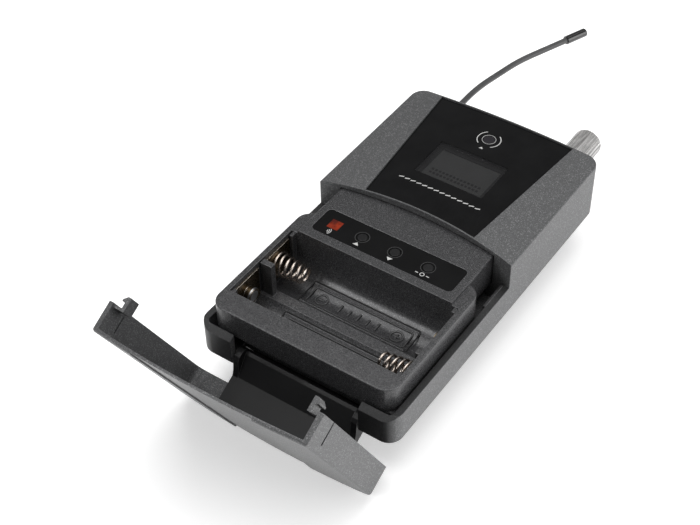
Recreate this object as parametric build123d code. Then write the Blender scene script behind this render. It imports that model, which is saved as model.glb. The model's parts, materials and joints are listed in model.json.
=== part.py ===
from build123d import *
import math
import os

# Bodypack for in-ear monitoring, lying on its belt clip with the battery door open.
# Design frame: X across the pack, Y from the hinge end to the antenna end, Z from the
# back cover to the face. Lengths are in millimetres.

# Housing
body_width = 66.0
body_length = 115.0
corner_radius = 4.5
inner_corner = 1.3
wall = 2.0
end_wall = 2.5
ceiling = 1.9
rim_height = 10.6        # rim around the battery tray
side_height = 19.6       # raised end, at its side edges
crown_rise = 1.4         # how much higher the middle of the face is
cover_front = 60.0       # where the raised end starts, at the sides
front_bow = 4.0          # how far that edge curves back in the middle
bulkhead = 1.8
edge_round = 0.8
slot_width = 43.0        # slot for the door's hinge arm
parting = 0.35           # gap all round the door
swing_relief = (2.6, 1.7)  # reach and depth of the slope that the door's edge swings past
fit_gap = 0.15

# Back cover and screws
back_thickness = 1.8
screw_radius = 0.9
screw_head_radius = 1.8
screw_head_height = 0.9
screw_length = 7.0
boss_radius = 2.8
housing_boss_inset = 5.8
housing_boss_from_end = 14.8

# Batteries and their tray
cell_diameter = 14.5
cell_play = 0.2
cell_length = 50.5
spring_room = 6.5
tray_gap = 0.7           # between the tray and the housing wall
tray_top = 17.6
tray_skin = 1.3
tray_rear = 49.0
tray_corner = 4.6
bay_front = 9.8
tub_wall = 1.4
tub_bottom = 1.95
skirt_bottom = 9.0
baffle_y = 6.5           # web under the skirt, behind the hinge arm
baffle_gap = 0.5         # between the web and the arm's cheeks
tray_boss_inset = 3.4
tray_boss_radius = 2.6
cradle_panel = (36.0, 8.2, 0.3)
ridge_top = 5.6          # ridge between the two cradles
contact_size = 11.0
contact_thickness = 0.4
nub_radius = 2.3
nub_length = 2.2
rib_reach = 4.2          # web between the two contacts at each end
spring_wire = 0.35
spring_radius = 3.0
spring_length = 10.4
spring_turns = 6

# Control block behind the battery bay
block_width = 52.6
block_top = 18.6
block_skin = 1.1
label_size = (47.6, 10.0, 0.5)
label_play = 0.1
label_y = 47.3
label_radius = 1.5
button_xs = (-9.0, 2.2, 13.4)
button_names = ("up_button", "down_button", "set_button")
button_radius = 1.6
button_flange = 2.2
button_travel = 0.4
plunger_radius = 0.9
slide_gap = 0.15
ir_window_x = -18.6
ir_window_size = 3.7

# Face panel, display and sensor
panel_front_width = 37.8
panel_rear_width = 47.2
panel_recess = 0.6
panel_thickness = 0.7
panel_lip = 0.8         # housing left behind the panel, at the antenna end
front_lip = 0.45        # and in front of it, along the curved edge
display_y = 87.1
display_size = (23.6, 15.9)
module_margin = 1.5      # display module and its frame, beyond the window
bracket_height = 2.4
module_gap = 0.6         # below the housing's ceiling
sensor_y = 103.6
sensor_radius = 1.8

# Circuit board
board_length = 55.0
board_thickness = 1.2
board_play = 1.0         # beside the block's walls
boss_play = 0.3          # beside the tray's screw bosses
board_front = 42.4
board_bottom = 11.2
shield_size = (36.0, 13.0, 3.4)
shield_front = 62.5
chip_size = (10.0, 10.0, 1.2)
chip_front = 84.0
receiver_size = (4.0, 3.6, 3.0)
switch_half = 2.6
switch_height = 2.0

# Antenna end
end_axis_z = 11.8
antenna_x = -21.8
knob_x = 21.7
whip_radius = 1.0
# The whip's corners, across from the socket and out from the end face
whip_offsets = ((0, -3.0), (0, 19.0), (4.1, 39.5), (13.2, 62.5))
whip_bend = 60.0
tip_radius = 1.5
tip_length = 8.5
tip_socket = 4.0
collar_radius = 2.6
collar_length = 6.5
jack_bore = 1.78
jack_bush = 3.0
jack_depth = 14.0
knob_radius = 4.6
knob_length = 13.2
knob_ribs = 26
knob_gap = 1.4
shaft_radius = 2.0
pot_bush = 3.4
running_gap = 0.05

# Battery door and its hinge arm
door_wall = 1.4
door_plate = 1.2
door_recess = 0.5
door_end_gap = 1.1       # between the door's free end and the raised end
hinge_y = 4.4
hinge_z = 1.5
door_angle = 118.5
arm_width = 42.0
arm_flange = 1.1
cheek_width = 1.9
pin_radius = 0.8
lug_length = 4.0
arm_gap = 0.4            # between the arm and each lug
notch_y = 3.8            # how far behind the pin the back cover is cut away
notch_lip_y = 2.9        # and at its outer face, where a thin lip is left
notch_lip = 0.5
lug_top = 2.0            # above the pin
# YZ outlines of the arm's plate and of the cheeks at its two ends, door closed
arm_plate = ((0.15, 1.2), (1.2, 0.1), (5.3, 0.1), (6.1, 0.9), (5.9, 2.0), (2.5, 8.4), (2.5, 10.95),
             (0.15, 10.95))
arm_cheek = ((1.2, 0.1), (6.2, 0.1), (7.4, 0.9), (8.0, 2.4), (7.9, 3.8), (7.2, 5.0), (5.4, 6.1), (3.8, 7.2),
             (2.5, 8.6), (1.2, 8.6))
hook_front = 53.6
hook_rear = 58.2
hook_x = (28.3, 29.3)
hook_root = 12.0
barb_reach = 30.3
hook_drop = 7.9
slit_y = 50.8
slit_width = 0.8

# Belt clip
clip_stand = 12.5        # resting face of the clip below the back cover
clip_width = 24.0
clip_thickness = 1.2
clip_toe = 30.0
clip_heel = 99.5
clip_pivot_y = 91.0
clip_pivot_z = -5.0
clip_pin_radius = 1.2
clip_lug_radius = 2.6
clip_lug_x = (6.2, 8.2)
ear_x = (8.4, 9.9)
bracket_plate = 1.4
bracket_screw_x = 4.5
bracket_screw_y = 86.2

half_width = body_width / 2
bow_radius = (half_width**2 + front_bow**2) / (2 * front_bow)
crown_radius = (half_width**2 + crown_rise**2) / (2 * crown_rise)
cell_pitch = cell_diameter + cell_play
bay_length = cell_length + spring_room
bay_depth = 2 * cell_pitch
bay_rear = bay_front + bay_depth
cell_ys = (bay_front + cell_pitch / 2, bay_front + 1.5 * cell_pitch)
cell_z = tray_top - cell_diameter / 2
tray_half = half_width - wall - tray_gap
tray_front = wall + tray_gap
label_z = block_top - 0.1 - label_size[2]
board_top = board_bottom + board_thickness
board_half = min(block_width / 2 - tray_skin - board_play,
                 tray_half - tray_boss_inset - tray_boss_radius - boss_play)
clip_face_y = (clip_toe + 4.5 + clip_heel) / 2
origin_shift = Pos(0, -clip_face_y, clip_stand)


def block(x0, x1, y0, y1, z0, z1):
    """A box between two corners."""
    return Pos((x0 + x1) / 2, (y0 + y1) / 2, (z0 + z1) / 2) * Box(x1 - x0, y1 - y0, z1 - z0)


def rounded_block(x0, x1, y0, y1, z0, z1, radius):
    """A box whose upright corners are rounded."""
    plan = Pos((x0 + x1) / 2, (y0 + y1) / 2, z0) * RectangleRounded(x1 - x0, y1 - y0, radius)
    return extrude(plan, z1 - z0)


def rod_x(x0, x1, y, z, radius):
    """A cylinder along X."""
    return Pos((x0 + x1) / 2, y, z) * Rot(0, 90, 0) * Cylinder(radius, x1 - x0)


def rod_y(x, y0, y1, z, radius):
    """A cylinder along Y."""
    return Pos(x, (y0 + y1) / 2, z) * Rot(90, 0, 0) * Cylinder(radius, y1 - y0)


def rod_z(x, y, z0, z1, radius):
    """A cylinder along Z."""
    return Pos(x, y, (z0 + z1) / 2) * Cylinder(radius, z1 - z0)


def side_profile(points, x0, x1):
    """A YZ outline given as (y, z) points, extruded from x0 to x1."""
    face = Plane.YZ.offset(x0) * make_face(Polyline(*points, close=True))
    return extrude(face, x1 - x0)


def under_crown(drop):
    """Everything below the crowned face lowered by drop."""
    centre_z = side_height + crown_rise - crown_radius
    return rod_y(0, -20, body_length + 20, centre_z, crown_radius - drop)


def door_side(offset, z0, z1):
    """Everything on the hinge side of the raised end's curved edge."""
    centre_y = cover_front + front_bow - bow_radius
    return rod_z(0, centre_y, z0, z1, bow_radius + offset)


def panel_band(play):
    """The tapered band down the middle of the face, full length."""
    slope = (panel_rear_width - panel_front_width) / 2 / (body_length - cover_front - front_bow)
    y0 = -1.0
    y1 = body_length - panel_lip
    half_1 = panel_rear_width / 2 - play - slope * panel_lip
    half_0 = half_1 - slope * (y1 - y0)
    outline = Polyline((-half_0, y0), (half_0, y0), (half_1, y1 - play), (-half_1, y1 - play), close=True)
    return extrude(make_face(outline), 30)


def mirrored(solid):
    """A solid and its mirror image across the middle of the pack."""
    return solid + mirror(solid, Plane.YZ)


def screw(x, y, z, length):
    """A pan-head screw pointing up, its head below z."""
    head = rod_z(x, y, z - screw_head_height, z, screw_head_radius)
    cross = block(-1.1, 1.1, -0.2, 0.2, 0, 0.4) + block(-0.2, 0.2, -1.1, 1.1, 0, 0.4)
    head -= Pos(x, y, z - screw_head_height) * cross
    return head + rod_z(x, y, z, z + length, screw_radius)


def housing_screw_places():
    x = half_width - housing_boss_inset
    y = body_length - housing_boss_from_end
    return [(-x, y), (x, y)]


def tray_screw_places():
    x = tray_half - tray_boss_inset
    y = (bay_rear + tub_wall + tray_rear - tray_skin) / 2
    return [(-x, y), (x, y)]


def front_housing():
    shape = rounded_block(-half_width, half_width, 0, body_length, 0, 30, corner_radius)
    shape = shape & under_crown(0)
    top_edges = shape.faces().sort_by(Axis.Z)[-1].edges()
    bottom_edges = shape.faces().sort_by(Axis.Z)[0].edges()
    shape = fillet(top_edges + bottom_edges, edge_round)
    shape -= door_side(0, rim_height, 40)
    # Slope on the hinge end of the rim, which lets the door's edge swing past
    reach, depth = swing_relief
    relief = ((-0.1, rim_height - depth), (reach, rim_height + 0.1), (-0.1, rim_height + 0.1))
    shape -= side_profile(relief, -half_width, half_width)
    inner = rounded_block(-half_width + wall, half_width - wall, wall, body_length - end_wall,
                          -1, 30, inner_corner)
    shape -= inner & door_side(0, -1, 40)
    electronics = (inner & under_crown(ceiling)) - door_side(bulkhead, -2, 41)
    shape -= electronics
    shape -= inner & rounded_block(-half_width, half_width, 0, body_length, -1,
                                   back_thickness + 0.05, corner_radius)
    tongue_half = block_width / 2 + fit_gap * 2
    shape -= block(-tongue_half, tongue_half, cover_front - 2, cover_front + front_bow + bulkhead + 1,
                   7.8, block_top + 0.25)
    shape -= panel_band(0) - under_crown(panel_recess + panel_thickness) - door_side(front_lip, -1, 41)
    shape -= (panel_band(0) & door_side(front_lip + 0.1, -1, 41)) - under_crown(panel_recess)
    shape -= block(-display_size[0] / 2 - 0.5, display_size[0] / 2 + 0.5, display_y - display_size[1] / 2 - 0.5,
                   display_y + display_size[1] / 2 + 0.5, 14, 30)
    shape -= rod_z(0, sensor_y, 14, 30, sensor_radius - 0.5)
    # Bosses for the back cover's screws at the antenna end
    for x, y in housing_screw_places():
        boss = rod_z(x, y, back_thickness, side_height - 1, boss_radius) & under_crown(1)
        shape += boss
        shape -= rod_z(x, y, back_thickness - 0.5, back_thickness + screw_length, screw_radius + running_gap)
    # Slot and lugs for the hinge arm
    shape -= block(-slot_width / 2, slot_width / 2, -1, wall + 0.01, -1, rim_height + 1)
    lug_x = arm_width / 2 + arm_gap
    lug = block(lug_x, lug_x + lug_length, hinge_y - 1.8, hinge_y + lug_top, 0.15, hinge_z + lug_top)
    lug_end = lug_x + lug_length
    lug += block(lug_end - 1, lug_end + 3, wall - 0.5, hinge_y + lug_top, 0.15, hinge_z + lug_top)
    shape += mirrored(lug)
    shape -= rod_x(-lug_x - lug_length, lug_x + lug_length, hinge_y, hinge_z, pin_radius)
    # Ledges on the side walls that the door's hooks catch under
    ledge = block(barb_reach + 0.1, half_width - wall + 0.1, hook_front - 4, hook_rear + 1.4,
                  hook_drop + 1.9, rim_height + 0.3)
    shape += mirrored(ledge)
    # Openings in the antenna end
    shape -= rod_y(antenna_x, body_length - 5, body_length + 1, end_axis_z, collar_radius)
    shape -= rod_y(0, body_length - 5, body_length + 1, end_axis_z, jack_bush + running_gap)
    shape -= rod_y(knob_x, body_length - 5, body_length + 1, end_axis_z, pot_bush + running_gap)
    return shape


def back_cover():
    inset = wall + fit_gap
    shape = rounded_block(-half_width + inset, half_width - inset, inset, body_length - end_wall - fit_gap,
                          0, back_thickness, inner_corner - fit_gap)
    notch = arm_width / 2 + lug_length + 3.8
    shape -= block(-notch, notch, 0, hinge_y + notch_lip_y, -1, back_thickness + 1)
    shape -= block(-notch, notch, 0, hinge_y + notch_y, notch_lip, back_thickness + 1)
    for x in (-18, 18):
        for y in (board_front + 26, board_front + board_length - 4):
            shape += rod_z(x, y, back_thickness - 0.2, board_bottom, 1.8)
    for x in (-bracket_screw_x, bracket_screw_x):
        shape += rod_z(x, bracket_screw_y, 1, screw_length, 2.2)
        shape -= rod_z(x, bracket_screw_y, -1, screw_length - 0.8, screw_radius + running_gap)
    for x, y in housing_screw_places() + tray_screw_places():
        shape -= rod_z(x, y, -1, 3, screw_radius + 0.2)
        shape -= rod_z(x, y, -1, screw_head_height + 0.2, screw_head_radius + fit_gap)
    return shape


def cover_screws():
    head_seat = screw_head_height + 0.2
    places = housing_screw_places() + tray_screw_places()
    return [screw(x, y, head_seat, screw_length) for x, y in places]


def battery_tray():
    shape = rounded_block(-tray_half, tray_half, tray_front, tray_rear, skirt_bottom, tray_top, tray_corner)
    shape = fillet(shape.faces().sort_by(Axis.Z)[-1].edges(), 0.4)
    shape -= rounded_block(-tray_half + tray_skin, tray_half - tray_skin, tray_front + tray_skin,
                           tray_rear - tray_skin, 0, tray_top - tray_skin, tray_corner - tray_skin)
    tub_half = bay_length / 2 + tub_wall - 0.2
    shape += block(-tub_half, tub_half, bay_front - tub_wall, bay_rear + tub_wall, tub_bottom, tray_top - 0.5)
    # Web that closes the space behind the hinge arm, between its cheeks
    baffle_half = arm_width / 2 - cheek_width - baffle_gap
    baffle = ((tray_front, skirt_bottom + 1), (tray_front, skirt_bottom - 0.1), (baffle_y, tub_bottom + 3),
              (baffle_y, tub_bottom), (bay_front, tub_bottom), (bay_front, skirt_bottom + 1))
    shape += side_profile(baffle, -baffle_half, baffle_half)
    # Control block, raised above the tray and reaching under the housing's raised end
    tongue = block(-block_width / 2, block_width / 2, bay_rear, 80, 8.0, block_top)
    tongue = fillet(tongue.edges().filter_by(Axis.Y).group_by(Axis.Z)[-1], 0.4)
    tongue &= door_side(1.2, 0, 30)
    clear = block(-block_width / 2 + tray_skin, block_width / 2 - tray_skin, bay_rear + tub_wall, 90,
                  0, block_top - block_skin - label_size[2])
    shape = (shape + tongue) - clear
    # The two cell cradles
    half_bay = bay_length / 2
    shape -= block(-half_bay, half_bay, bay_front, bay_rear, cell_z, 30)
    for y in cell_ys:
        shape -= rod_x(-half_bay, half_bay, y, cell_z, cell_pitch / 2)
    shape -= block(-half_bay, half_bay, cell_ys[0], cell_ys[1], ridge_top, cell_z + 1)
    for y in cell_ys:
        panel = block(-cradle_panel[0] / 2, cradle_panel[0] / 2, y - cradle_panel[1] / 2,
                      y + cradle_panel[1] / 2, tub_bottom + 0.3, cell_z)
        hollow = rod_x(-half_bay, half_bay, y, cell_z, cell_pitch / 2 - cradle_panel[2])
        shape += panel - hollow
    # Ribs that hold the contact plates
    middle = bay_front + bay_depth / 2
    for side in (-1, 1):
        inner_x = side * (half_bay - contact_thickness)
        rib_x = side * (half_bay - rib_reach)
        low, high = sorted((inner_x, rib_x))
        top = tray_top - 0.3 if side < 0 else cell_z + 1
        shape += block(low, high, middle - 0.9, middle + 0.9, tub_bottom + 0.5, top)
        low, high = sorted((inner_x, side * (half_bay - 1.4)))
        for y0, y1 in ((bay_front - 0.1, bay_front + 1.6), (bay_rear - 1.6, bay_rear + 0.1)):
            shape += block(low, high, y0, y1, tub_bottom + 0.5, tray_top - 0.6)
    # Bosses for the back cover's screws
    for x, y in tray_screw_places():
        shape += rod_z(x, y, tub_bottom, tray_top - 0.5, tray_boss_radius)
        shape -= rod_z(x, y, 0, back_thickness + screw_length, screw_radius + running_gap)
    # Seat of the label, the button holes and the sensor opening
    shape -= rounded_block(-label_size[0] / 2 - label_play, label_size[0] / 2 + label_play,
                           label_y - label_size[1] / 2 - label_play, label_y + label_size[1] / 2 + label_play,
                           label_z, 30, label_radius + label_play)
    for x in button_xs:
        shape -= rod_z(x, label_y, 10, 30, button_radius + slide_gap)
    shape -= block(ir_window_x - 1.4, ir_window_x + 1.4, label_y - 1.4, label_y + 1.4, 10, 30)
    return shape


def control_label():
    shape = rounded_block(-label_size[0] / 2, label_size[0] / 2, label_y - label_size[1] / 2,
                          label_y + label_size[1] / 2, label_z, label_z + label_size[2], label_radius)
    for x in button_xs:
        shape -= rod_z(x, label_y, 10, 30, button_radius + slide_gap)
    reach = ir_window_size / 2 + 0.05
    shape -= block(ir_window_x - reach, ir_window_x + reach, label_y - reach, label_y + reach, 10, 30)
    return shape


def ir_window():
    reach = ir_window_size / 2
    return block(ir_window_x - reach, ir_window_x + reach, label_y - reach, label_y + reach,
                 label_z, label_z + label_size[2])


def push_button(x):
    top = block_top
    underside = block_top - block_skin - label_size[2]
    cap = rod_z(x, label_y, underside - 1.0, top, button_radius)
    cap = fillet(cap.edges().sort_by(Axis.Z)[-1:], 0.2)
    cap += rod_z(x, label_y, underside - 0.8, underside - 0.1, button_flange)
    switch_top = board_top + switch_height
    return cap + rod_z(x, label_y, switch_top + button_travel + 0.1, underside - 0.5, plunger_radius)


def tact_switches():
    half = switch_half
    return [block(x - half, x + half, label_y - half, label_y + half, board_top, board_top + switch_height)
            for x in button_xs]


def display_panel():
    shape = (panel_band(0.1) & under_crown(panel_recess)) - under_crown(panel_recess + panel_thickness)
    shape -= door_side(front_lip + 0.05, -1, 41)
    shape -= block(-display_size[0] / 2 - 0.05, display_size[0] / 2 + 0.05, display_y - display_size[1] / 2 - 0.05,
                   display_y + display_size[1] / 2 + 0.05, 10, 30)
    return shape - rod_z(0, sensor_y, 10, 30, sensor_radius + 0.05)


def lcd_lens():
    plate = block(-display_size[0] / 2, display_size[0] / 2, display_y - display_size[1] / 2,
                  display_y + display_size[1] / 2, 10, 30)
    return (plate & under_crown(panel_recess + 0.1)) - under_crown(panel_recess + panel_thickness)


def lcd_module():
    half_x = display_size[0] / 2 + module_margin
    half_y = display_size[1] / 2 + module_margin
    return block(-half_x, half_x, display_y - half_y, display_y + half_y, board_top + bracket_height,
                 side_height + crown_rise - ceiling - module_gap)


def lcd_bracket():
    half_x = display_size[0] / 2 + module_margin
    half_y = display_size[1] / 2 + module_margin
    outer = block(-half_x, half_x, display_y - half_y, display_y + half_y, board_top, board_top + bracket_height)
    return outer - block(-display_size[0] / 2, display_size[0] / 2, display_y - display_size[1] / 2,
                         display_y + display_size[1] / 2, 0, 30)


def ir_sensor():
    lens = rod_z(0, sensor_y, 10, 30, sensor_radius) & under_crown(panel_recess + 0.05)
    lens -= under_crown(panel_recess + panel_thickness)
    return lens + rod_z(0, sensor_y, 16.4, side_height + 0.4, sensor_radius - 0.6)


def main_board():
    return block(-board_half, board_half, board_front, board_front + board_length, board_bottom, board_top)


def shield_can():
    half = shield_size[0] / 2
    return block(-half, half, shield_front, shield_front + shield_size[1], board_top, board_top + shield_size[2])


def processor_chip():
    half = chip_size[0] / 2
    return block(-half, half, chip_front, chip_front + chip_size[1], board_bottom - chip_size[2], board_bottom)


def ir_receiver():
    half_x = receiver_size[0] / 2
    half_y = receiver_size[1] / 2
    return block(ir_window_x - half_x, ir_window_x + half_x, label_y - half_y, label_y + half_y,
                 board_top, board_top + receiver_size[2])


def contact_plate(side, y):
    """A spring steel contact plate at one end of a cell."""
    half_bay = bay_length / 2
    low, high = sorted((side * half_bay, side * (half_bay - contact_thickness)))
    half = contact_size / 2
    plate = block(low, high, y - half, y + half, cell_z - half, cell_z + half)
    floor = rod_x(-half_bay - 1, half_bay + 1, y, cell_z, cell_pitch / 2 - 0.05)
    upper = block(-half_bay - 1, half_bay + 1, y - cell_pitch / 2, y + cell_pitch / 2, cell_z, 30)
    return plate & (floor + upper)


def positive_contact(side, y):
    """A contact plate with the raised button that meets a cell's plus end."""
    half_bay = bay_length / 2
    plate = contact_plate(side, y)
    low, high = sorted((side * (half_bay - contact_thickness), side * (half_bay - contact_thickness - nub_length)))
    return plate + rod_x(low, high, y, cell_z, nub_radius)


def battery_spring(side, y):
    """A coil spring standing on a contact plate, slightly tapered."""
    pitch = (spring_length - 2 * spring_wire) / spring_turns
    path = Helix(pitch, pitch * spring_turns, spring_radius, cone_angle=-3)
    start = path @ 0
    section = Plane(start, z_dir=path % 0) * Circle(spring_wire)
    coil = sweep(section, path, is_frenet=True)
    base_x = side * (bay_length / 2 - contact_thickness - spring_wire)
    return Pos(base_x, y, cell_z) * Rot(0, -90 * side, 0) * coil


def antenna_collar():
    y = body_length
    shape = rod_y(antenna_x, y - end_wall, y, end_axis_z, collar_radius)
    shape += rod_y(antenna_x, y, y + 1.2, end_axis_z, collar_radius + 0.9)
    boot = Pos(antenna_x, y + 1.2 + collar_length / 2, end_axis_z) * Rot(-90, 0, 0) * Cone(
        collar_radius, whip_radius + 0.5, collar_length)
    shape += boot
    return shape - rod_y(antenna_x, y - 5, y + 12, end_axis_z, whip_radius)


def whip_path():
    points = [(antenna_x + across, body_length + out, end_axis_z) for across, out in whip_offsets]
    return FilletPolyline(*points, radius=whip_bend)


def antenna_whip():
    path = whip_path()
    section = Plane(path @ 0, z_dir=path % 0) * Circle(whip_radius)
    return sweep(section, path)


def antenna_tip():
    path = whip_path()
    end = path @ 1
    direction = path % 1
    start = end - direction * tip_socket
    seat = Plane(start, z_dir=direction)
    cap = seat * extrude(Circle(tip_radius), tip_length)
    cap = fillet(cap.edges().sort_by(Axis.Y)[-1], 0.5)
    return cap - seat * extrude(Circle(whip_radius), tip_socket)


def earphone_jack():
    y = body_length
    body = block(-4, 4, y - end_wall - 13.6, y - end_wall - 0.05, end_axis_z - 3.8, end_axis_z + 3.8)
    bush = rod_y(0, y - end_wall - 0.2, y + 1.4, end_axis_z, jack_bush)
    return body + bush - rod_y(0, y + 1.4 - jack_depth, y + 2, end_axis_z, jack_bore)


def jack_nut():
    y = body_length
    ring = rod_y(0, y, y + 1.1, end_axis_z, jack_bush + 1.3)
    return ring - rod_y(0, y - 1, y + 2, end_axis_z, jack_bush)


def volume_pot():
    y = body_length
    body = block(knob_x - 4.9, knob_x + 4.9, y - end_wall - 8.6, y - end_wall - 0.05,
                 end_axis_z - 5, end_axis_z + 5)
    bush = rod_y(knob_x, y - end_wall - 0.2, y + 1.0, end_axis_z, pot_bush)
    return body + bush - rod_y(knob_x, y - end_wall - 7.5, y + 2, end_axis_z, shaft_radius + running_gap)


def volume_shaft():
    y = body_length
    return rod_y(knob_x, y - end_wall - 7.3, y + knob_gap + knob_length - 2.5, end_axis_z, shaft_radius)


def volume_knob():
    y0 = body_length + knob_gap
    shape = rod_y(knob_x, y0, y0 + knob_length, end_axis_z, knob_radius)
    shape = fillet(shape.edges().group_by(Axis.Y)[-1], 0.7)
    for i in range(knob_ribs):
        turn = 2 * math.pi * i / knob_ribs
        x = knob_x + (knob_radius + 0.1) * math.cos(turn)
        z = end_axis_z + (knob_radius + 0.1) * math.sin(turn)
        shape -= rod_y(x, y0 + 1.0, y0 + knob_length + 1, z, 0.34)
    return shape - rod_y(knob_x, y0 - 1, y0 + knob_length - 2.5, end_axis_z, shaft_radius)


def battery_door():
    """The door as it sits closed; it is opened when it is written out."""
    z0 = rim_height + parting
    outer = rounded_block(-half_width, half_width, 0, body_length, z0, 30, corner_radius) & under_crown(0)
    outer &= door_side(-door_end_gap, 0, 40)
    outer = fillet(outer.faces().sort_by(Axis.Z)[-1].edges(), edge_round)
    hollow = rounded_block(-half_width + door_wall, half_width - door_wall, door_wall, body_length,
                           0, 30, corner_radius - door_wall)
    shape = outer - (hollow & under_crown(door_plate))
    shape -= panel_band(0) - under_crown(door_recess)
    # Spring tongues with their hooks
    hook = block(hook_x[0], hook_x[1], hook_front, hook_rear, hook_drop, hook_root)
    hook += block(hook_x[0], half_width - door_wall + 0.1, hook_front, hook_rear, rim_height + 0.6, hook_root)
    barb_points = Polyline((hook_x[1] - 0.1, hook_drop), (barb_reach, hook_drop + 1.1),
                           (barb_reach, hook_drop + 1.6), (hook_x[1] - 0.1, hook_drop + 1.8), close=True)
    barb = Plane.XZ.offset(-hook_front) * make_face(barb_points)
    hook += extrude(barb, -(hook_rear - hook_front))
    shape += mirrored(hook)
    slit = block(half_width - door_wall - 0.5, half_width + 1, slit_y, slit_y + slit_width, 0, side_height - 2.4)
    shape -= mirrored(slit)
    return shape


def hinge_arm():
    """The arm as it sits with the door closed."""
    half = arm_width / 2
    shape = side_profile(arm_plate, -half, half)
    shape += block(-half, half, door_wall, door_wall + arm_flange, rim_height - 1, side_height - 2.6)
    shape += mirrored(side_profile(arm_cheek, half - cheek_width, half))
    return shape - rod_x(-half - 1, half + 1, hinge_y, hinge_z, pin_radius + running_gap)


def hinge_pin():
    half = arm_width / 2 + arm_gap + lug_length
    return rod_x(-half, half, hinge_y, hinge_z, pin_radius)


def opened(solid):
    """Swing a closed door piece about the hinge pin."""
    return Pos(0, hinge_y, hinge_z) * Rot(door_angle, 0, 0) * Pos(0, -hinge_y, -hinge_z) * solid


def clip_bracket():
    shape = rounded_block(-11, 11, clip_pivot_y - 7, clip_pivot_y + 7, -bracket_plate, 0, 2)
    ear = block(ear_x[0], ear_x[1], clip_pivot_y - clip_lug_radius, clip_pivot_y + clip_lug_radius,
                clip_pivot_z, -bracket_plate + 0.2)
    ear += rod_x(ear_x[0], ear_x[1], clip_pivot_y, clip_pivot_z, clip_lug_radius)
    shape += mirrored(ear)
    shape -= rod_x(-20, 20, clip_pivot_y, clip_pivot_z, clip_pin_radius)
    for x in (-bracket_screw_x, bracket_screw_x):
        shape -= rod_z(x, bracket_screw_y, -5, 1, screw_radius + running_gap)
    return shape


def bracket_screws():
    return [screw(x, bracket_screw_y, -bracket_plate, 6.5) for x in (-bracket_screw_x, bracket_screw_x)]


def clip_pin():
    return rod_x(-ear_x[1], ear_x[1], clip_pivot_y, clip_pivot_z, clip_pin_radius)


def belt_clip():
    low = -clip_stand
    high = low + clip_thickness
    strap = ((clip_heel, high), (clip_heel, low), (clip_toe + 4.5, low), (clip_toe + 2.0, low + 0.7),
             (clip_toe + 0.3, low + 2.9), (clip_toe, -1.2), (clip_toe + 1.1, -0.6), (clip_toe + 1.6, low + 3.3),
             (clip_toe + 3.0, high + 0.4), (clip_toe + 4.9, high))
    half = clip_width / 2
    shape = side_profile(strap, -half, half)
    shape &= rounded_block(-half, half, clip_toe - 8, clip_heel, -20, 5, 3.0)
    lug = block(clip_lug_x[0], clip_lug_x[1], clip_pivot_y - clip_lug_radius, clip_pivot_y + clip_lug_radius,
                low + 0.2, clip_pivot_z)
    lug += rod_x(clip_lug_x[0], clip_lug_x[1], clip_pivot_y, clip_pivot_z, clip_lug_radius)
    shape += mirrored(lug)
    return shape - rod_x(-20, 20, clip_pivot_y, clip_pivot_z, clip_pin_radius + running_gap)


def clip_spring():
    """The torsion spring round the clip's pin, with its two legs."""
    wire = 0.4
    coil_radius = 1.9
    turns = 8
    pitch = 1.1
    path = Helix(pitch, pitch * turns, coil_radius)
    section = Plane(path @ 0, z_dir=path % 0) * Circle(wire)
    coil = Rot(0, 90, 0) * sweep(section, path, is_frenet=True)
    return Pos(-pitch * turns / 2, clip_pivot_y, clip_pivot_z) * coil


def write(name, solids):
    """Write one node, moved so that the origin is the middle of the clip's resting face."""
    if not isinstance(solids, list):
        solids = [solids]
    placed = [origin_shift * solid for solid in solids]
    export_step(placed[0] if len(placed) == 1 else Compound(children=placed), f"parts/{name}.step")


os.makedirs("parts", exist_ok=True)
write("front_housing", front_housing())
write("back_cover", back_cover())
write("cover_screws", cover_screws())
write("battery_tray", battery_tray())
write("control_label", control_label())
write("ir_window", ir_window())
for button_name, button_x in zip(button_names, button_xs):
    write(button_name, push_button(button_x))
write("tact_switches", tact_switches())
write("display_panel", display_panel())
write("lcd_lens", lcd_lens())
write("lcd_module", lcd_module())
write("lcd_bracket", lcd_bracket())
write("ir_sensor", ir_sensor())
write("main_board", main_board())
write("shield_can", shield_can())
write("processor_chip", processor_chip())
write("ir_receiver", ir_receiver())
write("rear_cell_spring", battery_spring(-1, cell_ys[1]))
write("rear_spring_contact", contact_plate(-1, cell_ys[1]))
write("rear_plus_contact", positive_contact(1, cell_ys[1]))
write("front_cell_spring", battery_spring(1, cell_ys[0]))
write("front_spring_contact", contact_plate(1, cell_ys[0]))
write("front_plus_contact", positive_contact(-1, cell_ys[0]))
write("antenna_collar", antenna_collar())
write("antenna_whip", antenna_whip())
write("antenna_tip", antenna_tip())
write("earphone_jack", earphone_jack())
write("jack_nut", jack_nut())
write("volume_pot", volume_pot())
write("volume_shaft", volume_shaft())
write("volume_knob", volume_knob())
write("battery_door", opened(battery_door()))
write("hinge_arm", opened(hinge_arm()))
write("hinge_pin", hinge_pin())
write("clip_bracket", clip_bracket())
write("bracket_screws", bracket_screws())
write("clip_pin", clip_pin())
write("belt_clip", belt_clip())
write("clip_spring", clip_spring())
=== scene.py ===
import json
import math

import bmesh
import bpy
from mathutils import Matrix, Vector
from mathutils.bvhtree import BVHTree


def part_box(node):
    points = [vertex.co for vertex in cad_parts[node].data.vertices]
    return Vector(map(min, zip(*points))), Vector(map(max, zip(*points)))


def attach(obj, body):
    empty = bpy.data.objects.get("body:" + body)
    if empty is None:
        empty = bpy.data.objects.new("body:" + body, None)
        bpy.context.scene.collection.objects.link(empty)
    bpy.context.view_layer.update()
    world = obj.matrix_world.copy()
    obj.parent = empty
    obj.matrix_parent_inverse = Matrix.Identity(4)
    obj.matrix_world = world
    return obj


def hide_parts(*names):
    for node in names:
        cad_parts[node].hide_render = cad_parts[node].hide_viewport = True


MM = 0.001

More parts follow.
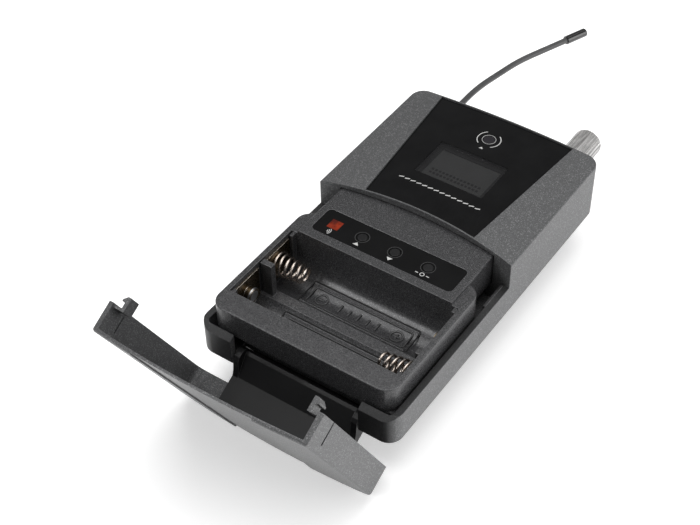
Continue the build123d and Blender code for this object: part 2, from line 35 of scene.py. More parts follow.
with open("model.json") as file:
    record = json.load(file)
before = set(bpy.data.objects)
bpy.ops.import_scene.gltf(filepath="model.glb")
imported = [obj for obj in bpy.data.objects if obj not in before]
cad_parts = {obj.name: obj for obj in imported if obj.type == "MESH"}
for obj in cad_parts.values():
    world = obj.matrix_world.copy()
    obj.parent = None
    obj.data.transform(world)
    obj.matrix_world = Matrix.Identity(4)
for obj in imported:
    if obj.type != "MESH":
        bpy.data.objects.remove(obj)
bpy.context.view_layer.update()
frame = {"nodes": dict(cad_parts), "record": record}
record = frame["record"]
nodes = frame["nodes"]


# ---------------------------------------------------------------- shader helpers

class Shader:
    """A procedural material built on one Principled BSDF."""

    def __init__(self, name, **inputs):
        self.mat = bpy.data.materials.new(name)
        self.mat.use_nodes = True
        self.tree = self.mat.node_tree
        self.bsdf = self.tree.nodes["Principled BSDF"]
        self.place = self.node("ShaderNodeTexCoord").outputs["Object"]
        for key, value in inputs.items():
            self.set(key, value)

    def set(self, key, value):
        socket = self.bsdf.inputs[key.replace("_", " ")]
        if hasattr(value, "links"):
            self.link(value, socket)
        elif isinstance(value, tuple):
            socket.default_value = (*value, 1)
        else:
            socket.default_value = value

    def node(self, kind, **settings):
        made = self.tree.nodes.new(kind)
        for key, value in settings.items():
            setattr(made, key, value)
        return made

    def link(self, source, target):
        self.tree.links.new(source, target)

    def feed(self, made, **inputs):
        for key, value in inputs.items():
            socket = made.inputs[key.replace("_", " ")]
            if hasattr(value, "links"):
                self.link(value, socket)
            else:
                socket.default_value = value
        return made

    def stretched(self, x, y, z):
        """Object coordinates scaled differently along each axis."""
        made = self.node("ShaderNodeMapping")
        made.inputs["Scale"].default_value = (x, y, z)
        self.link(self.place, made.inputs["Vector"])
        return made.outputs["Vector"]

    def noise(self, size_mm, detail=2.0, roughness=0.5, place=None):
        made = self.feed(self.node("ShaderNodeTexNoise"), Scale=1 / (size_mm * MM), Detail=detail,
                         Roughness=roughness)
        self.link(place or self.place, made.inputs["Vector"])
        return made.outputs["Fac"]

    def cells(self, size_mm):
        """A random grey for each small cell."""
        made = self.feed(self.node("ShaderNodeTexVoronoi"), Scale=1 / (size_mm * MM))
        self.link(self.place, made.inputs["Vector"])
        split = self.node("ShaderNodeSeparateColor")
        self.link(made.outputs["Color"], split.inputs["Color"])
        return split.outputs["Red"]

    def ramp(self, value, low, high, out_low=0.0, out_high=1.0):
        made = self.feed(self.node("ShaderNodeMapRange"), Value=value, From_Min=low, From_Max=high,
                         To_Min=out_low, To_Max=out_high)
        return made.outputs["Result"]

    def math(self, operation, a, b):
        made = self.node("ShaderNodeMath", operation=operation)
        for socket, value in zip(made.inputs, (a, b)):
            if hasattr(value, "links"):
                self.link(value, socket)
            else:
                socket.default_value = value
        return made.outputs["Value"]

    def mix(self, factor, a, b):
        made = self.node("ShaderNodeMix", data_type="RGBA")
        for socket, value in ((made.inputs[0], factor), (made.inputs[6], a), (made.inputs[7], b)):
            if hasattr(value, "links"):
                self.link(value, socket)
            elif isinstance(value, tuple):
                socket.default_value = (*value, 1)
            else:
                socket.default_value = value
        return made.outputs[2]

    def rounded(self, radius_mm):
        """The surface normal with its sharp edges rounded, and a mask of those edges."""
        bevel = self.node("ShaderNodeBevel", samples=4)
        bevel.inputs["Radius"].default_value = radius_mm * MM
        true = self.node("ShaderNodeNewGeometry").outputs["Normal"]
        dot = self.node("ShaderNodeVectorMath", operation="DOT_PRODUCT")
        self.link(bevel.outputs["Normal"], dot.inputs[0])
        self.link(true, dot.inputs[1])
        return bevel.outputs["Normal"], self.ramp(dot.outputs["Value"], 0.99, 0.85)

    def bump(self, height, depth_mm, strength=1.0, normal=None):
        made = self.feed(self.node("ShaderNodeBump"), Height=height, Distance=depth_mm * MM,
                         Strength=strength)
        if normal is not None:
            self.link(normal, made.inputs["Normal"])
        return made.outputs["Normal"]


def painted_shade_zone(s):
    """Where the housing is darkened nearly to black as painted shade: the top of its low rim, and its face
    at the hinge end.
    """
    rim_z = 24 * MM
    end_depth = 2.2 * MM
    end_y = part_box("front_housing")[0][1] + end_depth
    place = s.feed(s.node("ShaderNodeSeparateXYZ"), Vector=s.place)
    facing = s.node("ShaderNodeSeparateXYZ")
    s.link(s.node("ShaderNodeTexCoord").outputs["Normal"], facing.inputs["Vector"])
    upward = s.ramp(facing.outputs["Z"], 0.55, 0.8)
    low = s.ramp(place.outputs["Z"], rim_z, rim_z - 0.4 * MM)
    outward = s.ramp(facing.outputs["Y"], -0.45, -0.85)
    at_end = s.ramp(place.outputs["Y"], end_y, end_y - 0.3 * MM)
    return s.math("MAXIMUM", s.math("MULTIPLY", upward, low), s.math("MULTIPLY", outward, at_end))


def flecked_plastic(name, dark, light, fleck, roughness=0.42, metallic=0.35, edge=0.3, specular=0.5,
                    shade_zone=None):
    """Satin plastic with a metallic fleck, finely grained; its edges are lightened, partly as wear and
    partly as painted highlight.
    """
    s = Shader(name, Metallic=metallic, Specular_IOR_Level=specular)
    cloud = s.noise(14, 3)
    grain = s.noise(0.28, 3, 0.65)
    body = s.mix(s.ramp(grain, 0.32, 0.7), dark, light)
    body = s.mix(s.ramp(cloud, 0.3, 0.75, 0.0, 0.22), body, dark)
    flakes = s.ramp(s.cells(0.2), 0.80, 0.98)
    body = s.mix(s.math("MULTIPLY", flakes, 0.55), body, fleck)
    normal, edges = s.rounded(0.3)
    # Edge lightening: partly wear, partly painted highlight along the rounded edges
    wear_and_highlight = s.math("MULTIPLY", edges, s.ramp(s.noise(1.6, 3), 0.3, 0.7, edge * 0.5, edge))
    if shade_zone:
        # Painted shade: inside the zone the colour is darkened nearly to black
        body = s.mix(s.math("MULTIPLY", shade_zone(s), 0.82), body, (0.008, 0.008, 0.0085))
        wear_and_highlight = s.math("MULTIPLY", wear_and_highlight, 0.6)
    s.set("Base_Color", s.mix(wear_and_highlight, body, fleck))
    rough = s.ramp(grain, 0.3, 0.7, roughness - 0.06, roughness + 0.08)
    s.set("Roughness", rough)
    s.set("Normal", s.bump(grain, 0.012, 0.7, normal))
    return s.mat


def plain_plastic(name, dark, light, roughness=0.4, edge=(0.09, 0.09, 0.09), grain_mm=0.22, depth=0.006):
    """Black moulded plastic with a fine eroded texture; its edges are lightened, partly as rubbed wear and
    partly as painted highlight.
    """
    s = Shader(name)
    grain = s.noise(grain_mm, 3, 0.6)
    cloud = s.noise(9, 3)
    body = s.mix(s.ramp(cloud, 0.3, 0.7), dark, light)
    body = s.mix(s.ramp(grain, 0.55, 0.8, 0.0, 0.5), body, light)
    normal, edges = s.rounded(0.2)
    # Edge lightening: partly rubbed wear, partly painted highlight
    s.set("Base_Color", s.mix(s.math("MULTIPLY", edges, 0.6), body, edge))
    s.set("Roughness", s.ramp(cloud, 0.3, 0.7, roughness - 0.05, roughness + 0.07))
    s.set("Normal", s.bump(grain, depth, 0.7, normal))
    return s.mat


def gloss(name, colour, haze, roughness=0.12, coat=0.0, specular=0.5):
    """Polished plastic or film with faint haze, fine scuffs and an orange-peel surface."""
    s = Shader(name, Coat_Weight=coat, Coat_Roughness=0.05, Specular_IOR_Level=specular)
    scuffs = s.noise(0.5, 4, 0.7, s.stretched(1, 0.15, 1))
    cloud = s.noise(7, 2)
    s.set("Base_Color", s.mix(s.ramp(cloud, 0.35, 0.7, 0.0, 1.0), colour, haze))
    s.set("Roughness", s.ramp(scuffs, 0.35, 0.75, roughness, roughness + 0.09))
    s.set("Normal", s.bump(s.noise(2.5, 2), 0.004, 0.4))
    return s.mat


def metal(name, colour, tint, roughness=0.25, streak=(1, 1, 1), size=0.5, depth=0.004):
    """Metal with drawn or turned streaks and a slightly uneven tint."""
    s = Shader(name, Metallic=1.0)
    lines = s.noise(size, 4, 0.65, s.stretched(*streak))
    stain = s.noise(2.2, 3)
    s.set("Base_Color", s.mix(s.ramp(stain, 0.3, 0.72), colour, tint))
    s.set("Roughness", s.ramp(lines, 0.3, 0.7, roughness - 0.06, roughness + 0.12))
    s.set("Normal", s.bump(lines, depth, 0.6))
    return s.mat


def knurled_metal(name):
    """Bright turned metal with fine dark streaks running along the knob, darkest where its bump is low."""
    s = Shader(name, Metallic=0.85)
    streaks = s.ramp(s.noise(0.75, 3, 0.7, s.stretched(1, 0.05, 1)), 0.36, 0.62)
    stain = s.noise(2.0, 3)
    bright = s.mix(s.ramp(stain, 0.3, 0.7), (0.95, 0.94, 0.93), (0.8, 0.79, 0.78))
    s.set("Base_Color", s.mix(streaks, (0.30, 0.295, 0.29), bright))
    s.set("Roughness", s.ramp(streaks, 0.0, 1.0, 0.42, 0.24))
    s.set("Normal", s.bump(streaks, 0.03, 0.8))
    return s.mat


def contact_metal(name):
    """Thin plated strip, bronze and stained on its broad face; its edges are painted bright as a painted
    highlight.
    """
    s = Shader(name, Metallic=1.0)
    stain = s.ramp(s.noise(1.8, 4, 0.6), 0.3, 0.7)
    broad = s.mix(stain, (0.23, 0.18, 0.115), (0.10, 0.078, 0.05))
    normal, edges = s.rounded(0.18)
    # Painted highlight: the edges are lightened to a bright metal colour
    s.set("Base_Color", s.mix(edges, broad, (0.78, 0.72, 0.66)))
    s.set("Roughness", s.ramp(s.noise(0.4, 4, 0.65), 0.3, 0.7, 0.2, 0.38))
    s.set("Normal", normal)
    return s.mat


def circuit_board(name):
    """Solder mask over faint copper tracks."""
    s = Shader(name)
    tracks = s.node("ShaderNodeTexBrick")
    s.feed(tracks, Scale=1 / (9 * MM), Mortar_Size=0.03)
    s.link(s.place, tracks.inputs["Vector"])
    s.set("Base_Color", s.mix(tracks.outputs["Fac"], (0.006, 0.05, 0.022), (0.02, 0.11, 0.05)))
    s.set("Roughness", s.ramp(s.noise(1.5, 3), 0.3, 0.7, 0.3, 0.45))
    s.set("Normal", s.bump(tracks.outputs["Fac"], 0.03, 0.5))
    return s.mat


def display_glass(name):
    """The grey liquid crystal layer with its fine dot grid."""
    s = Shader(name)
    dots = s.node("ShaderNodeTexChecker")
    s.feed(dots, Scale=1 / (0.22 * MM))
    s.link(s.place, dots.inputs["Vector"])
    s.set("Base_Color", s.mix(dots.outputs["Fac"], (0.15, 0.152, 0.15), (0.175, 0.177, 0.175)))
    s.set("Roughness", s.ramp(s.noise(3, 2), 0.3, 0.7, 0.3, 0.4))
    return s.mat


def smoked_window(name):
    """The clear, slightly tinted window over the display."""
    s = Shader(name, Alpha=0.42)
    s.set("Base_Color", s.mix(s.noise(5, 2), (0.012, 0.012, 0.013), (0.02, 0.02, 0.021)))
    s.set("Roughness", s.ramp(s.noise(0.8, 4, 0.7), 0.4, 0.75, 0.08, 0.16))
    return s.mat


def red_filter(name):
    """Red infrared filter plastic, deeper towards one side."""
    s = Shader(name, Specular_IOR_Level=0.2)
    depth = s.noise(2.0, 1)
    s.set("Base_Color", s.mix(s.ramp(depth, 0.35, 0.65), (0.26, 0.024, 0.004), (0.075, 0.006, 0.002)))
    s.set("Roughness", s.ramp(s.noise(0.4, 3), 0.3, 0.7, 0.25, 0.4))
    return s.mat


GREY_DARK = (0.066, 0.067, 0.069)
GREY_LIGHT = (0.125, 0.126, 0.128)
GREY_FLECK = (0.34, 0.34, 0.345)
# The tray's greys: the housing's grey plastic darkened as painted shade
TRAY_DARK = (0.030, 0.030, 0.032)
TRAY_LIGHT = (0.062, 0.062, 0.064)
TRAY_FLECK = (0.22, 0.22, 0.225)
PRINT_WHITE = (0.62, 0.62, 0.61)
PRINT_WORN = (0.46, 0.46, 0.45)

materials = {
    "housing_plastic": flecked_plastic("grey_flecked_plastic", GREY_DARK, GREY_LIGHT, GREY_FLECK),
    "black_plastic": plain_plastic("black_moulded_plastic", (0.011, 0.011, 0.012), (0.019, 0.019, 0.02)),
    "panel_acrylic": gloss("black_acrylic", (0.0045, 0.0045, 0.0048), (0.0065, 0.0065, 0.0068), 0.16,
                           specular=0.16),
    "label_film": gloss("black_film", (0.003, 0.003, 0.0032), (0.0045, 0.0045, 0.0048), 0.34, specular=0.1),
    "display_window": smoked_window("smoked_window"),
    "display_glass": display_glass("liquid_crystal"),
    "red_window": red_filter("red_filter"),
    "sensor_lens": gloss("dark_lens", (0.006, 0.005, 0.008), (0.012, 0.010, 0.014), 0.06, 0.5),
    "circuit_board": circuit_board("green_board"),
    "component_black": plain_plastic("component_epoxy", (0.012, 0.012, 0.012), (0.02, 0.02, 0.02), 0.5),
    "spring_steel": metal("nickel_wire", (0.66, 0.60, 0.55), (0.40, 0.33, 0.28), 0.22, (1, 1, 1), 0.3),
    "contact_plate": contact_metal("nickel_strip"),
    "steel": metal("zinc_steel", (0.55, 0.55, 0.56), (0.42, 0.42, 0.43), 0.3, (1, 1, 0.1)),
    "tin_shield": metal("tin_plate", (0.62, 0.62, 0.6), (0.5, 0.5, 0.48), 0.32, (0.1, 1, 1)),
    "knob_metal": knurled_metal("streaked_knob"),
    "antenna_rubber": plain_plastic("antenna_rubber", (0.045, 0.045, 0.046), (0.065, 0.065, 0.066), 0.32),
    "jack_metal": metal("dark_nickel", (0.45, 0.44, 0.42), (0.3, 0.29, 0.28), 0.25, (1, 0.1, 1)),
}

# Finishes that set one node or printed mark apart from the rest of its slot
# The raised cradle marks: a lighter copy of the tray plastic, as painted highlight
cradle_mark_lit_finish = flecked_plastic("cradle_mark_painted_highlight", (0.06, 0.06, 0.062), (0.09, 0.09, 0.092), TRAY_FLECK,
                                roughness=0.36, metallic=0.3)
# The tray: a darker copy of the housing plastic as painted shade, its edges lightened more as painted
# highlight
tray_shaded_finish = flecked_plastic("flecked_plastic_with_painted_shade", TRAY_DARK, TRAY_LIGHT, TRAY_FLECK,
                              roughness=0.28, metallic=0.3, edge=0.8, specular=0.6)
# The housing's grey plastic, with painted shade on its low rim and its hinge-end face
shell_shaded_finish = flecked_plastic("housing_grey_with_painted_shade", GREY_DARK, GREY_LIGHT, GREY_FLECK,
                               shade_zone=painted_shade_zone)
# The arm's edges are lightened more, partly as wear and partly as painted highlight
arm_finish = plain_plastic("smooth_black_arm", (0.0045, 0.0045, 0.005), (0.008, 0.008, 0.0085), 0.42,
                           (0.16, 0.16, 0.16))
tip_finish = gloss("glossy_tip", (0.006, 0.006, 0.006), (0.01, 0.01, 0.01), 0.08, 0.6)
print_ink = plain_plastic("white_print", PRINT_WORN, PRINT_WHITE, 0.5, PRINT_WHITE, 0.12, 0.003)
ring_ink = plain_plastic("grey_print", (0.02, 0.02, 0.021), (0.035, 0.035, 0.036), 0.5,
                         (0.05, 0.05, 0.05), 0.12)
key_rubber = gloss("black_key", (0.005, 0.005, 0.0055), (0.009, 0.009, 0.0095), 0.32, specular=0.25)
# Near-black plastic for painted shadow lines
painted_shadow_black = plain_plastic("shadow_black", (0.003, 0.003, 0.003), (0.005, 0.005, 0.005), 0.7,
                          (0.006, 0.006, 0.006))
frame_grey = plain_plastic("display_frame", (0.016, 0.016, 0.016), (0.024, 0.024, 0.024), 0.5)

slot_of_node = {part["node"]: part["material_slot"] for part in record["subparts"]}
finish_of_node = {
    "battery_tray": tray_shaded_finish,
    "front_housing": shell_shaded_finish,
    "hinge_arm": arm_finish,
    "antenna_tip": tip_finish,
}
for key in ("up_button", "down_button", "set_button"):
    finish_of_node[key] = key_rubber

for node_name, obj in nodes.items():
    finish = finish_of_node.get(node_name, materials[slot_of_node[node_name]])
    if not obj.material_slots:
        obj.data.materials.append(finish)
    for place in obj.material_slots:
        place.material = finish


# ---------------------------------------------------------------- mesh helpers

def add_object(name, bm, finish, body, smooth=False):
    """Turns a bmesh into a piece that rides a body."""
    bmesh.ops.recalc_face_normals(bm, faces=bm.faces)
    mesh = bpy.data.meshes.new(name)
    bm.to_mesh(mesh)
    bm.free()
    mesh.materials.append(finish)
    for polygon in mesh.polygons:
        polygon.use_smooth = smooth
    obj = bpy.data.objects.new(name, mesh)
    bpy.context.scene.collection.objects.link(obj)
    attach(obj, body)
    return obj


def surface(node_name):
    """A search tree over a CAD node's mesh."""
    mesh = nodes[node_name].data
    mesh.calc_loop_triangles()
    points = [v.co.copy() for v in mesh.vertices]
    return BVHTree.FromPolygons(points, [tuple(t.vertices) for t in mesh.loop_triangles])


def height_on(tree, x, y):
    """Height of a surface straight below a point above the object."""
    hit = tree.ray_cast(Vector((x, y, 0.2)), Vector((0, 0, -1)))[0]
    return hit.z


def ribbon(bm, path, width, top, thickness=0.04 * MM, closed=False):
    """A flat strip along a plane path; top(x, y) gives the height of its upper face."""
    count = len(path)
    rims = []
    for i, point in enumerate(path):
        before = path[i - 1] if closed or i > 0 else point
        after = path[(i + 1) % count] if closed or i < count - 1 else point
        along = (after - before).normalized()
        side = Vector((-along.y, along.x)) * width / 2
        corners = []
        for edge in (point + side, point - side):
            height = top(edge.x, edge.y)
            corners.append(bm.verts.new((edge.x, edge.y, height)))
            corners.append(bm.verts.new((edge.x, edge.y, height - thickness)))
        rims.append(corners)
    spans = count if closed else count - 1
    for i in range(spans):
        a = rims[i]
        b = rims[(i + 1) % count]
        for j, k in ((0, 2), (2, 3), (3, 1), (1, 0)):
            bm.faces.new((a[j], a[k], b[k], b[j]))
    if not closed:
        for a in (rims[0], rims[-1]):
            bm.faces.new((a[0], a[2], a[3], a[1]))


def arc(cx, cy, radius, start, end, steps):
    """Points on an arc, in degrees."""
    turns = [math.radians(start + (end - start) * i / steps) for i in range(steps + 1)]
    return [Vector((cx + radius * math.cos(t), cy + radius * math.sin(t))) for t in turns]


def line(x0, y0, x1, y1):
    return [Vector((x0, y0)), Vector((x1, y1))]


def rounded_outline(x0, x1, y0, y1, radius, steps=5):
    """A closed rectangle with round corners."""
    points = arc(x1 - radius, y1 - radius, radius, 0, 90, steps)
    points += arc(x0 + radius, y1 - radius, radius, 90, 180, steps)
    points += arc(x0 + radius, y0 + radius, radius, 180, 270, steps)
    points += arc(x1 - radius, y0 + radius, radius, 270, 360, steps)
    return points


def prism(bm, outline, top, thickness=0.04 * MM):
    """A flat printed shape: one face on top, one below, and a wall round its edge."""
    upper = [bm.verts.new((p.x, p.y, top(p.x, p.y))) for p in outline]
    lower = [bm.verts.new((p.x, p.y, top(p.x, p.y) - thickness)) for p in outline]
    bm.faces.new(upper)
    bm.faces.new(lower[::-1])
    for i in range(len(outline)):
        j = (i + 1) % len(outline)
        bm.faces.new((upper[i], lower[i], lower[j], upper[j]))


def on(node_name, lift):
    """Height of a node's upper surface plus a small lift, as a function of place."""
    tree = surface(node_name)
    return lambda x, y: height_on(tree, x, y) + lift


def middle(node_name):
    low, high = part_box(node_name)
    return (Vector(low) + Vector(high)) / 2


def tube(name, points, radius, finish, body, sides=4):
    """A round wire along a smooth curve, made into a mesh."""
    data = bpy.data.curves.new(name, "CURVE")
    data.dimensions = "3D"
    data.bevel_depth = radius
    data.bevel_resolution = sides
    data.use_fill_caps = True
    data.resolution_u = 3
    spline = data.splines.new("NURBS")
    spline.points.add(len(points) - 1)
    for made, point in zip(spline.points, points):
        made.co = (*point, 1)
    spline.order_u = 3
    spline.use_endpoint_u = True
    source = bpy.data.objects.new(name + "_curve", data)
    mesh = bpy.data.meshes.new_from_object(source)
    bpy.data.objects.remove(source)
    mesh.materials.append(finish)
    for polygon in mesh.polygons:
        polygon.use_smooth = True
    obj = bpy.data.objects.new(name, mesh)
    bpy.context.scene.collection.objects.link(obj)
    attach(obj, body)
    return obj


# ---------------------------------------------------------------- battery bay

def build_cell_springs():
    """Conical battery springs, each one wire that widens towards its plate."""
    turns = 5.5
    steps_per_turn = 14
    wire = 0.42 * MM
    wide_radius = 3.7 * MM
    taper = 1.35 * MM
    for side_name in ("rear", "front"):
        cad_name = side_name + "_cell_spring"
        plate = middle(side_name + "_spring_contact")
        low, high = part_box(cad_name)
        inward = 1 if plate.x < 0 else -1
        base = (low[0] if inward > 0 else high[0]) + inward * wire
        reach = high[0] - low[0] - 2 * wire
        points = []
        total = int(turns * steps_per_turn)
        for i in range(total + 1):
            share = i / total
            rise = reach * min(1, max(0, (share - 0.06) / 0.9)) ** 1.08
            radius = wide_radius - taper * share
            turn = 2 * math.pi * turns * share
            points.append(Vector((base + inward * rise, plate.y + radius * math.cos(turn),
                                  plate.z + radius * math.sin(turn))))
        spring = tube(side_name + "_battery_spring", points, wire, materials["spring_steel"], "pack",
                      3)
        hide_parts(cad_name)


def build_contact_caps():
    """The bright domed caps on the two contacts that meet the cells' plus ends."""
    sides = 28
    # (rise, radius) in mm, from the plate to the crown
    profile = ((0.0, 2.42), (0.35, 2.42), (0.6, 2.3), (0.78, 1.9), (0.86, 1.2), (0.88, 0.0))
    for side_name in ("rear", "front"):
        low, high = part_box(side_name + "_plus_contact")
        centre = (Vector(low) + Vector(high)) / 2
        inward = 1 if centre.x < 0 else -1
        root = (high[0] if inward > 0 else low[0]) - inward * 0.8 * MM
        bm = bmesh.new()
        rings = []
        for rise, radius in profile[:-1]:
            ring = []
            for i in range(sides):
                turn = 2 * math.pi * i / sides
                ring.append(bm.verts.new((root + inward * rise * MM, centre.y + radius * MM * math.cos(turn),
                                          centre.z + radius * MM * math.sin(turn))))
            rings.append(ring)
        for near, far in zip(rings, rings[1:]):
            for i in range(sides):
                j = (i + 1) % sides
                bm.faces.new((near[i], near[j], far[j], far[i]))
        bm.faces.new(rings[0])
        crown = bm.verts.new((root + inward * profile[-1][0] * MM, centre.y, centre.z))
        for i in range(sides):
            bm.faces.new((rings[-1][i], rings[-1][(i + 1) % sides], crown))
        add_object(side_name + "_contact_cap", bm, materials["steel"], "pack", smooth=True)


def build_cradle_marks():
    """Battery outlines, polarity signs and plain bars moulded in the floors of the two cradles; the raised
    marks are a lighter copy of the tray plastic as painted highlight, each edged by a black ribbon of
    painted shadow at its foot.
    """
    raised = bmesh.new()
    foot_shadow = bmesh.new()
    crest = on("battery_tray", 0.22 * MM)
    foot = on("battery_tray", 0.07 * MM)

    def emboss(path, width, closed=False):
        # Each mark: the raised ribbon, and a wider black ribbon at its foot as painted shadow
        ribbon(raised, path, width, crest, 0.3 * MM, closed)
        ribbon(foot_shadow, path, width + 0.34 * MM, foot, 0.3 * MM, closed)

    for side_name, plus_side in (("rear", 1), ("front", -1)):
        y = middle(side_name + "_spring_contact").y
        half_x = 16.8 * MM
        half_y = 3.1 * MM
        emboss(rounded_outline(-half_x, half_x, y - half_y, y + half_y, 0.8 * MM), 0.24 * MM, True)
        tip_x = sorted((plus_side * half_x, plus_side * (half_x + 1.1 * MM)))
        emboss(rounded_outline(*tip_x, y - 1.2 * MM, y + 1.2 * MM, 0.3 * MM), 0.24 * MM, True)
        for side in (-1, 1):
            x = side * 13.0 * MM
            emboss(arc(x, y, 1.9 * MM, 0, 345, 24), 0.34 * MM, True)
            emboss(line(x - 1.0 * MM, y, x + 1.0 * MM, y), 0.38 * MM)
            if side == plus_side:
                emboss(line(x, y - 1.0 * MM, x, y + 1.0 * MM), 0.38 * MM)
        for i in range(5):
            x = (-6.4 + 3.2 * i) * MM
            reach = (1.5 - 0.35 * (i % 2)) * MM
            emboss(line(x, y - reach, x, y + reach), 0.4 * MM)
    add_object("cradle_mark_shadows", foot_shadow, painted_shadow_black, "pack")
    add_object("cradle_marks", raised, cradle_mark_lit_finish, "pack")


def build_cradle_outlines():
    """A black strip of painted shadow along the moulded step round each cradle's floor panel."""
    bm = bmesh.new()
    height = on("battery_tray", 0.05 * MM)
    for side_name in ("rear", "front"):
        y = middle(side_name + "_spring_contact").y
        ribbon(bm, rounded_outline(-18.4 * MM, 18.4 * MM, y - 4.5 * MM, y + 4.5 * MM, 0.5 * MM), 0.34 * MM,
               height, 0.3 * MM, closed=True)
    add_object("cradle_panel_step_shadows", bm, painted_shadow_black, "pack")


def extruded_x(bm, outline, x0, x1):
    """A solid with a (y, z) outline, from x0 to x1."""
    near = [bm.verts.new((x0, y, z)) for y, z in outline]
    far = [bm.verts.new((x1, y, z)) for y, z in outline]
    bm.faces.new(near)
    bm.faces.new(far[::-1])
    for i in range(len(outline)):
        j = (i + 1) % len(outline)
        bm.faces.new((near[i], far[i], far[j], near[j]))


def build_hinge_slot_shade():
    """Black blocks in the slot in the back cover behind the hinge arm, put there as painted shade that
    darkens the slot.
    """
    pin = middle("hinge_pin")
    arm_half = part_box("hinge_arm")[1][0]
    between_cheeks = arm_half - 2.5 * MM
    bm = bmesh.new()
    # (y, z) outlines in mm from the pin
    lower = ((2.98, -2.08), (3.9, -2.08), (3.9, -1.05), (2.98, -1.05))
    upper = ((2.15, -0.65), (2.9, -1.15), (3.85, -1.15), (3.85, 0.4), (2.15, 0.4))
    for outline, half in ((lower, arm_half + 0.3 * MM), (upper, between_cheeks)):
        extruded_x(bm, [(pin.y + y * MM, pin.z + z * MM) for y, z in outline], -half, half)
    add_object("hinge_slot_shade", bm, materials["black_plastic"], "pack")


# ---------------------------------------------------------------- printed marks

def build_label_marks():
    """Rings round the keys and plain signs under them, printed on the label."""
    height = on("control_label", 0.03 * MM)
    rings = bmesh.new()
    signs = bmesh.new()
    for node_name in ("up_button", "down_button", "set_button"):
        key = middle(node_name)
        ring = arc(key.x, key.y, 2.15 * MM, 0, 355, 40)
        ribbon(rings, ring, 0.2 * MM, height, closed=True)
        y = key.y - 3.25 * MM
        if node_name == "up_button":
            prism(signs, [Vector((key.x - 1.0 * MM, y - 0.5 * MM)), Vector((key.x + 1.0 * MM, y - 0.5 * MM)),
                          Vector((key.x, y + 0.7 * MM))], height)
        elif node_name == "down_button":
            prism(signs, [Vector((key.x - 1.0 * MM, y + 0.6 * MM)), Vector((key.x, y - 0.6 * MM)),
                          Vector((key.x + 1.0 * MM, y + 0.6 * MM))], height)
        else:
            ribbon(signs, arc(key.x, y, 0.62 * MM, 0, 345, 24), 0.26 * MM, height, closed=True)
            for side in (-1, 1):
                ribbon(signs, line(key.x + side * 1.3 * MM, y, key.x + side * 2.3 * MM, y), 0.3 * MM, height)
    window = middle("ir_window")
    for i in range(3):
        span = arc(window.x - 0.9 * MM, window.y - 3.2 * MM, (0.45 + 0.5 * i) * MM, -50, 50, 10)
        ribbon(signs, span, 0.22 * MM, height)
    add_object("key_rings", rings, ring_ink, "pack")
    add_object("key_signs", signs, print_ink, "pack")


def build_panel_marks():
    """A row of slanted dashes on the face panel, and the marks round the sensor."""
    height = on("display_panel", 0.03 * MM)
    bm = bmesh.new()
    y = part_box("display_panel")[0][1] + 11.3 * MM
    dashes = 14
    row_length = 26.4 * MM
    for i in range(dashes):
        x = row_length * (i / (dashes - 1) - 0.5)
        ribbon(bm, line(x - 0.75 * MM, y - 0.25 * MM, x + 0.75 * MM, y + 0.25 * MM), 0.42 * MM, height)
    sensor = middle("ir_sensor")
    for start in (125, -55):
        ribbon(bm, arc(sensor.x, sensor.y, 3.7 * MM, start, start + 110, 24), 0.3 * MM, height)
    ribbon(bm, arc(sensor.x, sensor.y, 2.15 * MM, 0, 352, 44), 0.16 * MM, height, closed=True)
    y = sensor.y - 4.7 * MM
    prism(bm, [Vector((sensor.x - 0.7 * MM, y - 0.4 * MM)), Vector((sensor.x + 0.7 * MM, y - 0.4 * MM)),
               Vector((sensor.x, y + 0.5 * MM))], height)
    add_object("panel_marks", bm, print_ink, "pack")


def build_display_frame():
    """The dark frame between the display's window and its glass."""
    bm = bmesh.new()
    low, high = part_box("lcd_lens")
    glass_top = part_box("lcd_module")[1][2]
    inset = 1.5 * MM
    outline = rounded_outline(low[0] + inset / 2, high[0] - inset / 2,
                              low[1] + inset / 2, high[1] - inset / 2, 0.3 * MM, 3)
    ribbon(bm, outline, inset, lambda x, y: glass_top + 0.35 * MM, 0.3 * MM, closed=True)
    add_object("display_frame", bm, frame_grey, "pack")


def build_display_segments():
    """Faint unlit bars of the display's battery and level scales."""
    bm = bmesh.new()
    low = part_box("lcd_lens")[0]
    glass_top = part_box("lcd_module")[1][2]
    x0 = low[0] + 3.2 * MM
    pitch = 1.25 * MM
    bar_width = 0.8 * MM
    half_height = 0.45 * MM
    for row in range(2):
        y = low[1] + (3.6 + 1.6 * row) * MM
        for i in range(14):
            x = x0 + pitch * i
            bar = rounded_outline(x, x + bar_width, y - half_height, y + half_height, 0.1 * MM, 2)
            prism(bm, bar, lambda x, y: glass_top + 0.04 * MM)
    add_object("display_bars", bm, ring_ink, "pack")


# ---------------------------------------------------------------- floor, lights, camera

def build_floor():
    bm = bmesh.new()
    bmesh.ops.create_grid(bm, x_segments=1, y_segments=1, size=3.0)
    mesh = bpy.data.meshes.new("floor")
    bm.to_mesh(mesh)
    bm.free()
    floor = bpy.data.objects.new("floor", mesh)
    bpy.context.scene.collection.objects.link(floor)
    s = Shader("pale_paper")
    s.set("Base_Color", s.mix(s.noise(300, 2), (0.93, 0.93, 0.93), (0.95, 0.95, 0.95)))
    s.set("Roughness", s.ramp(s.noise(4, 3), 0.3, 0.7, 0.6, 0.7))
    s.set("Emission_Color", (1.0, 1.0, 1.0))
    s.set("Emission_Strength", 0.36)
    mesh.materials.append(s.mat)


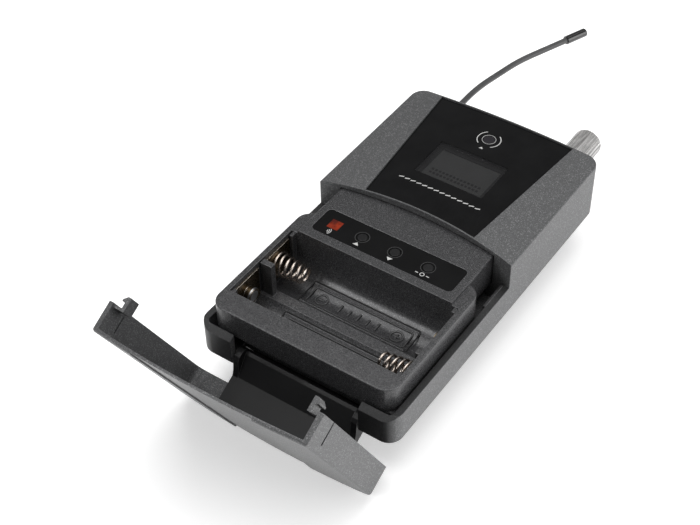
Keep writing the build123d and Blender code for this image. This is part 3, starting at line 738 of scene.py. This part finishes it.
def area_light(name, place, target, size, power):
    """A square lamp that points at a target."""
    data = bpy.data.lights.new(name, "AREA")
    data.shape = "SQUARE"
    data.size = size
    data.energy = power
    lamp = bpy.data.objects.new(name, data)
    bpy.context.scene.collection.objects.link(lamp)
    lamp.location = place
    lamp.rotation_euler = (Vector(target) - Vector(place)).to_track_quat("-Z", "Y").to_euler()


def build_lights():
    world = bpy.data.worlds.new("studio")
    bpy.context.scene.world = world
    world.use_nodes = True
    background = world.node_tree.nodes["Background"]
    background.inputs["Color"].default_value = (1, 1, 1, 1)
    background.inputs["Strength"].default_value = 0.28
    area_light("overhead_softbox", (-0.05, 0.08, 0.95), (0, 0, 0), 1.0, 7.6)
    area_light("right_softbox", (0.9, 0.16, 0.35), (0, 0, 0.02), 0.7, 4.4)
    area_light("front_softbox", (-0.45, -0.8, 0.62), (0, -0.03, 0.01), 0.36, 2.5)


def build_camera():
    azimuth = math.radians(35.25)
    elevation = math.radians(44.42)
    roll = math.radians(-1.06)
    aim = Vector((-10.14, -24.55, 24.18)) * MM
    distance = 411.86 * MM
    back = Vector((math.sin(azimuth) * math.cos(elevation), -math.cos(azimuth) * math.cos(elevation),
                   math.sin(elevation)))
    right = Vector((math.cos(azimuth), math.sin(azimuth), 0))
    up = back.cross(right)
    rolled_right = math.cos(roll) * right + math.sin(roll) * up
    rolled_up = math.cos(roll) * up - math.sin(roll) * right
    turn = Matrix((rolled_right, rolled_up, back)).transposed().to_4x4()
    data = bpy.data.cameras.new("camera")
    data.lens = 72.92
    data.sensor_width = 36
    data.clip_start = 0.01
    camera = bpy.data.objects.new("camera", data)
    camera.matrix_world = Matrix.Translation(aim + distance * back) @ turn
    bpy.context.scene.collection.objects.link(camera)
    bpy.context.scene.camera = camera


build_cell_springs()
build_contact_caps()
build_cradle_marks()
build_cradle_outlines()
build_hinge_slot_shade()
build_label_marks()
build_panel_marks()
build_display_frame()
build_display_segments()
build_floor()
build_lights()
build_camera()
bpy.context.scene.view_settings.view_transform = "Standard"
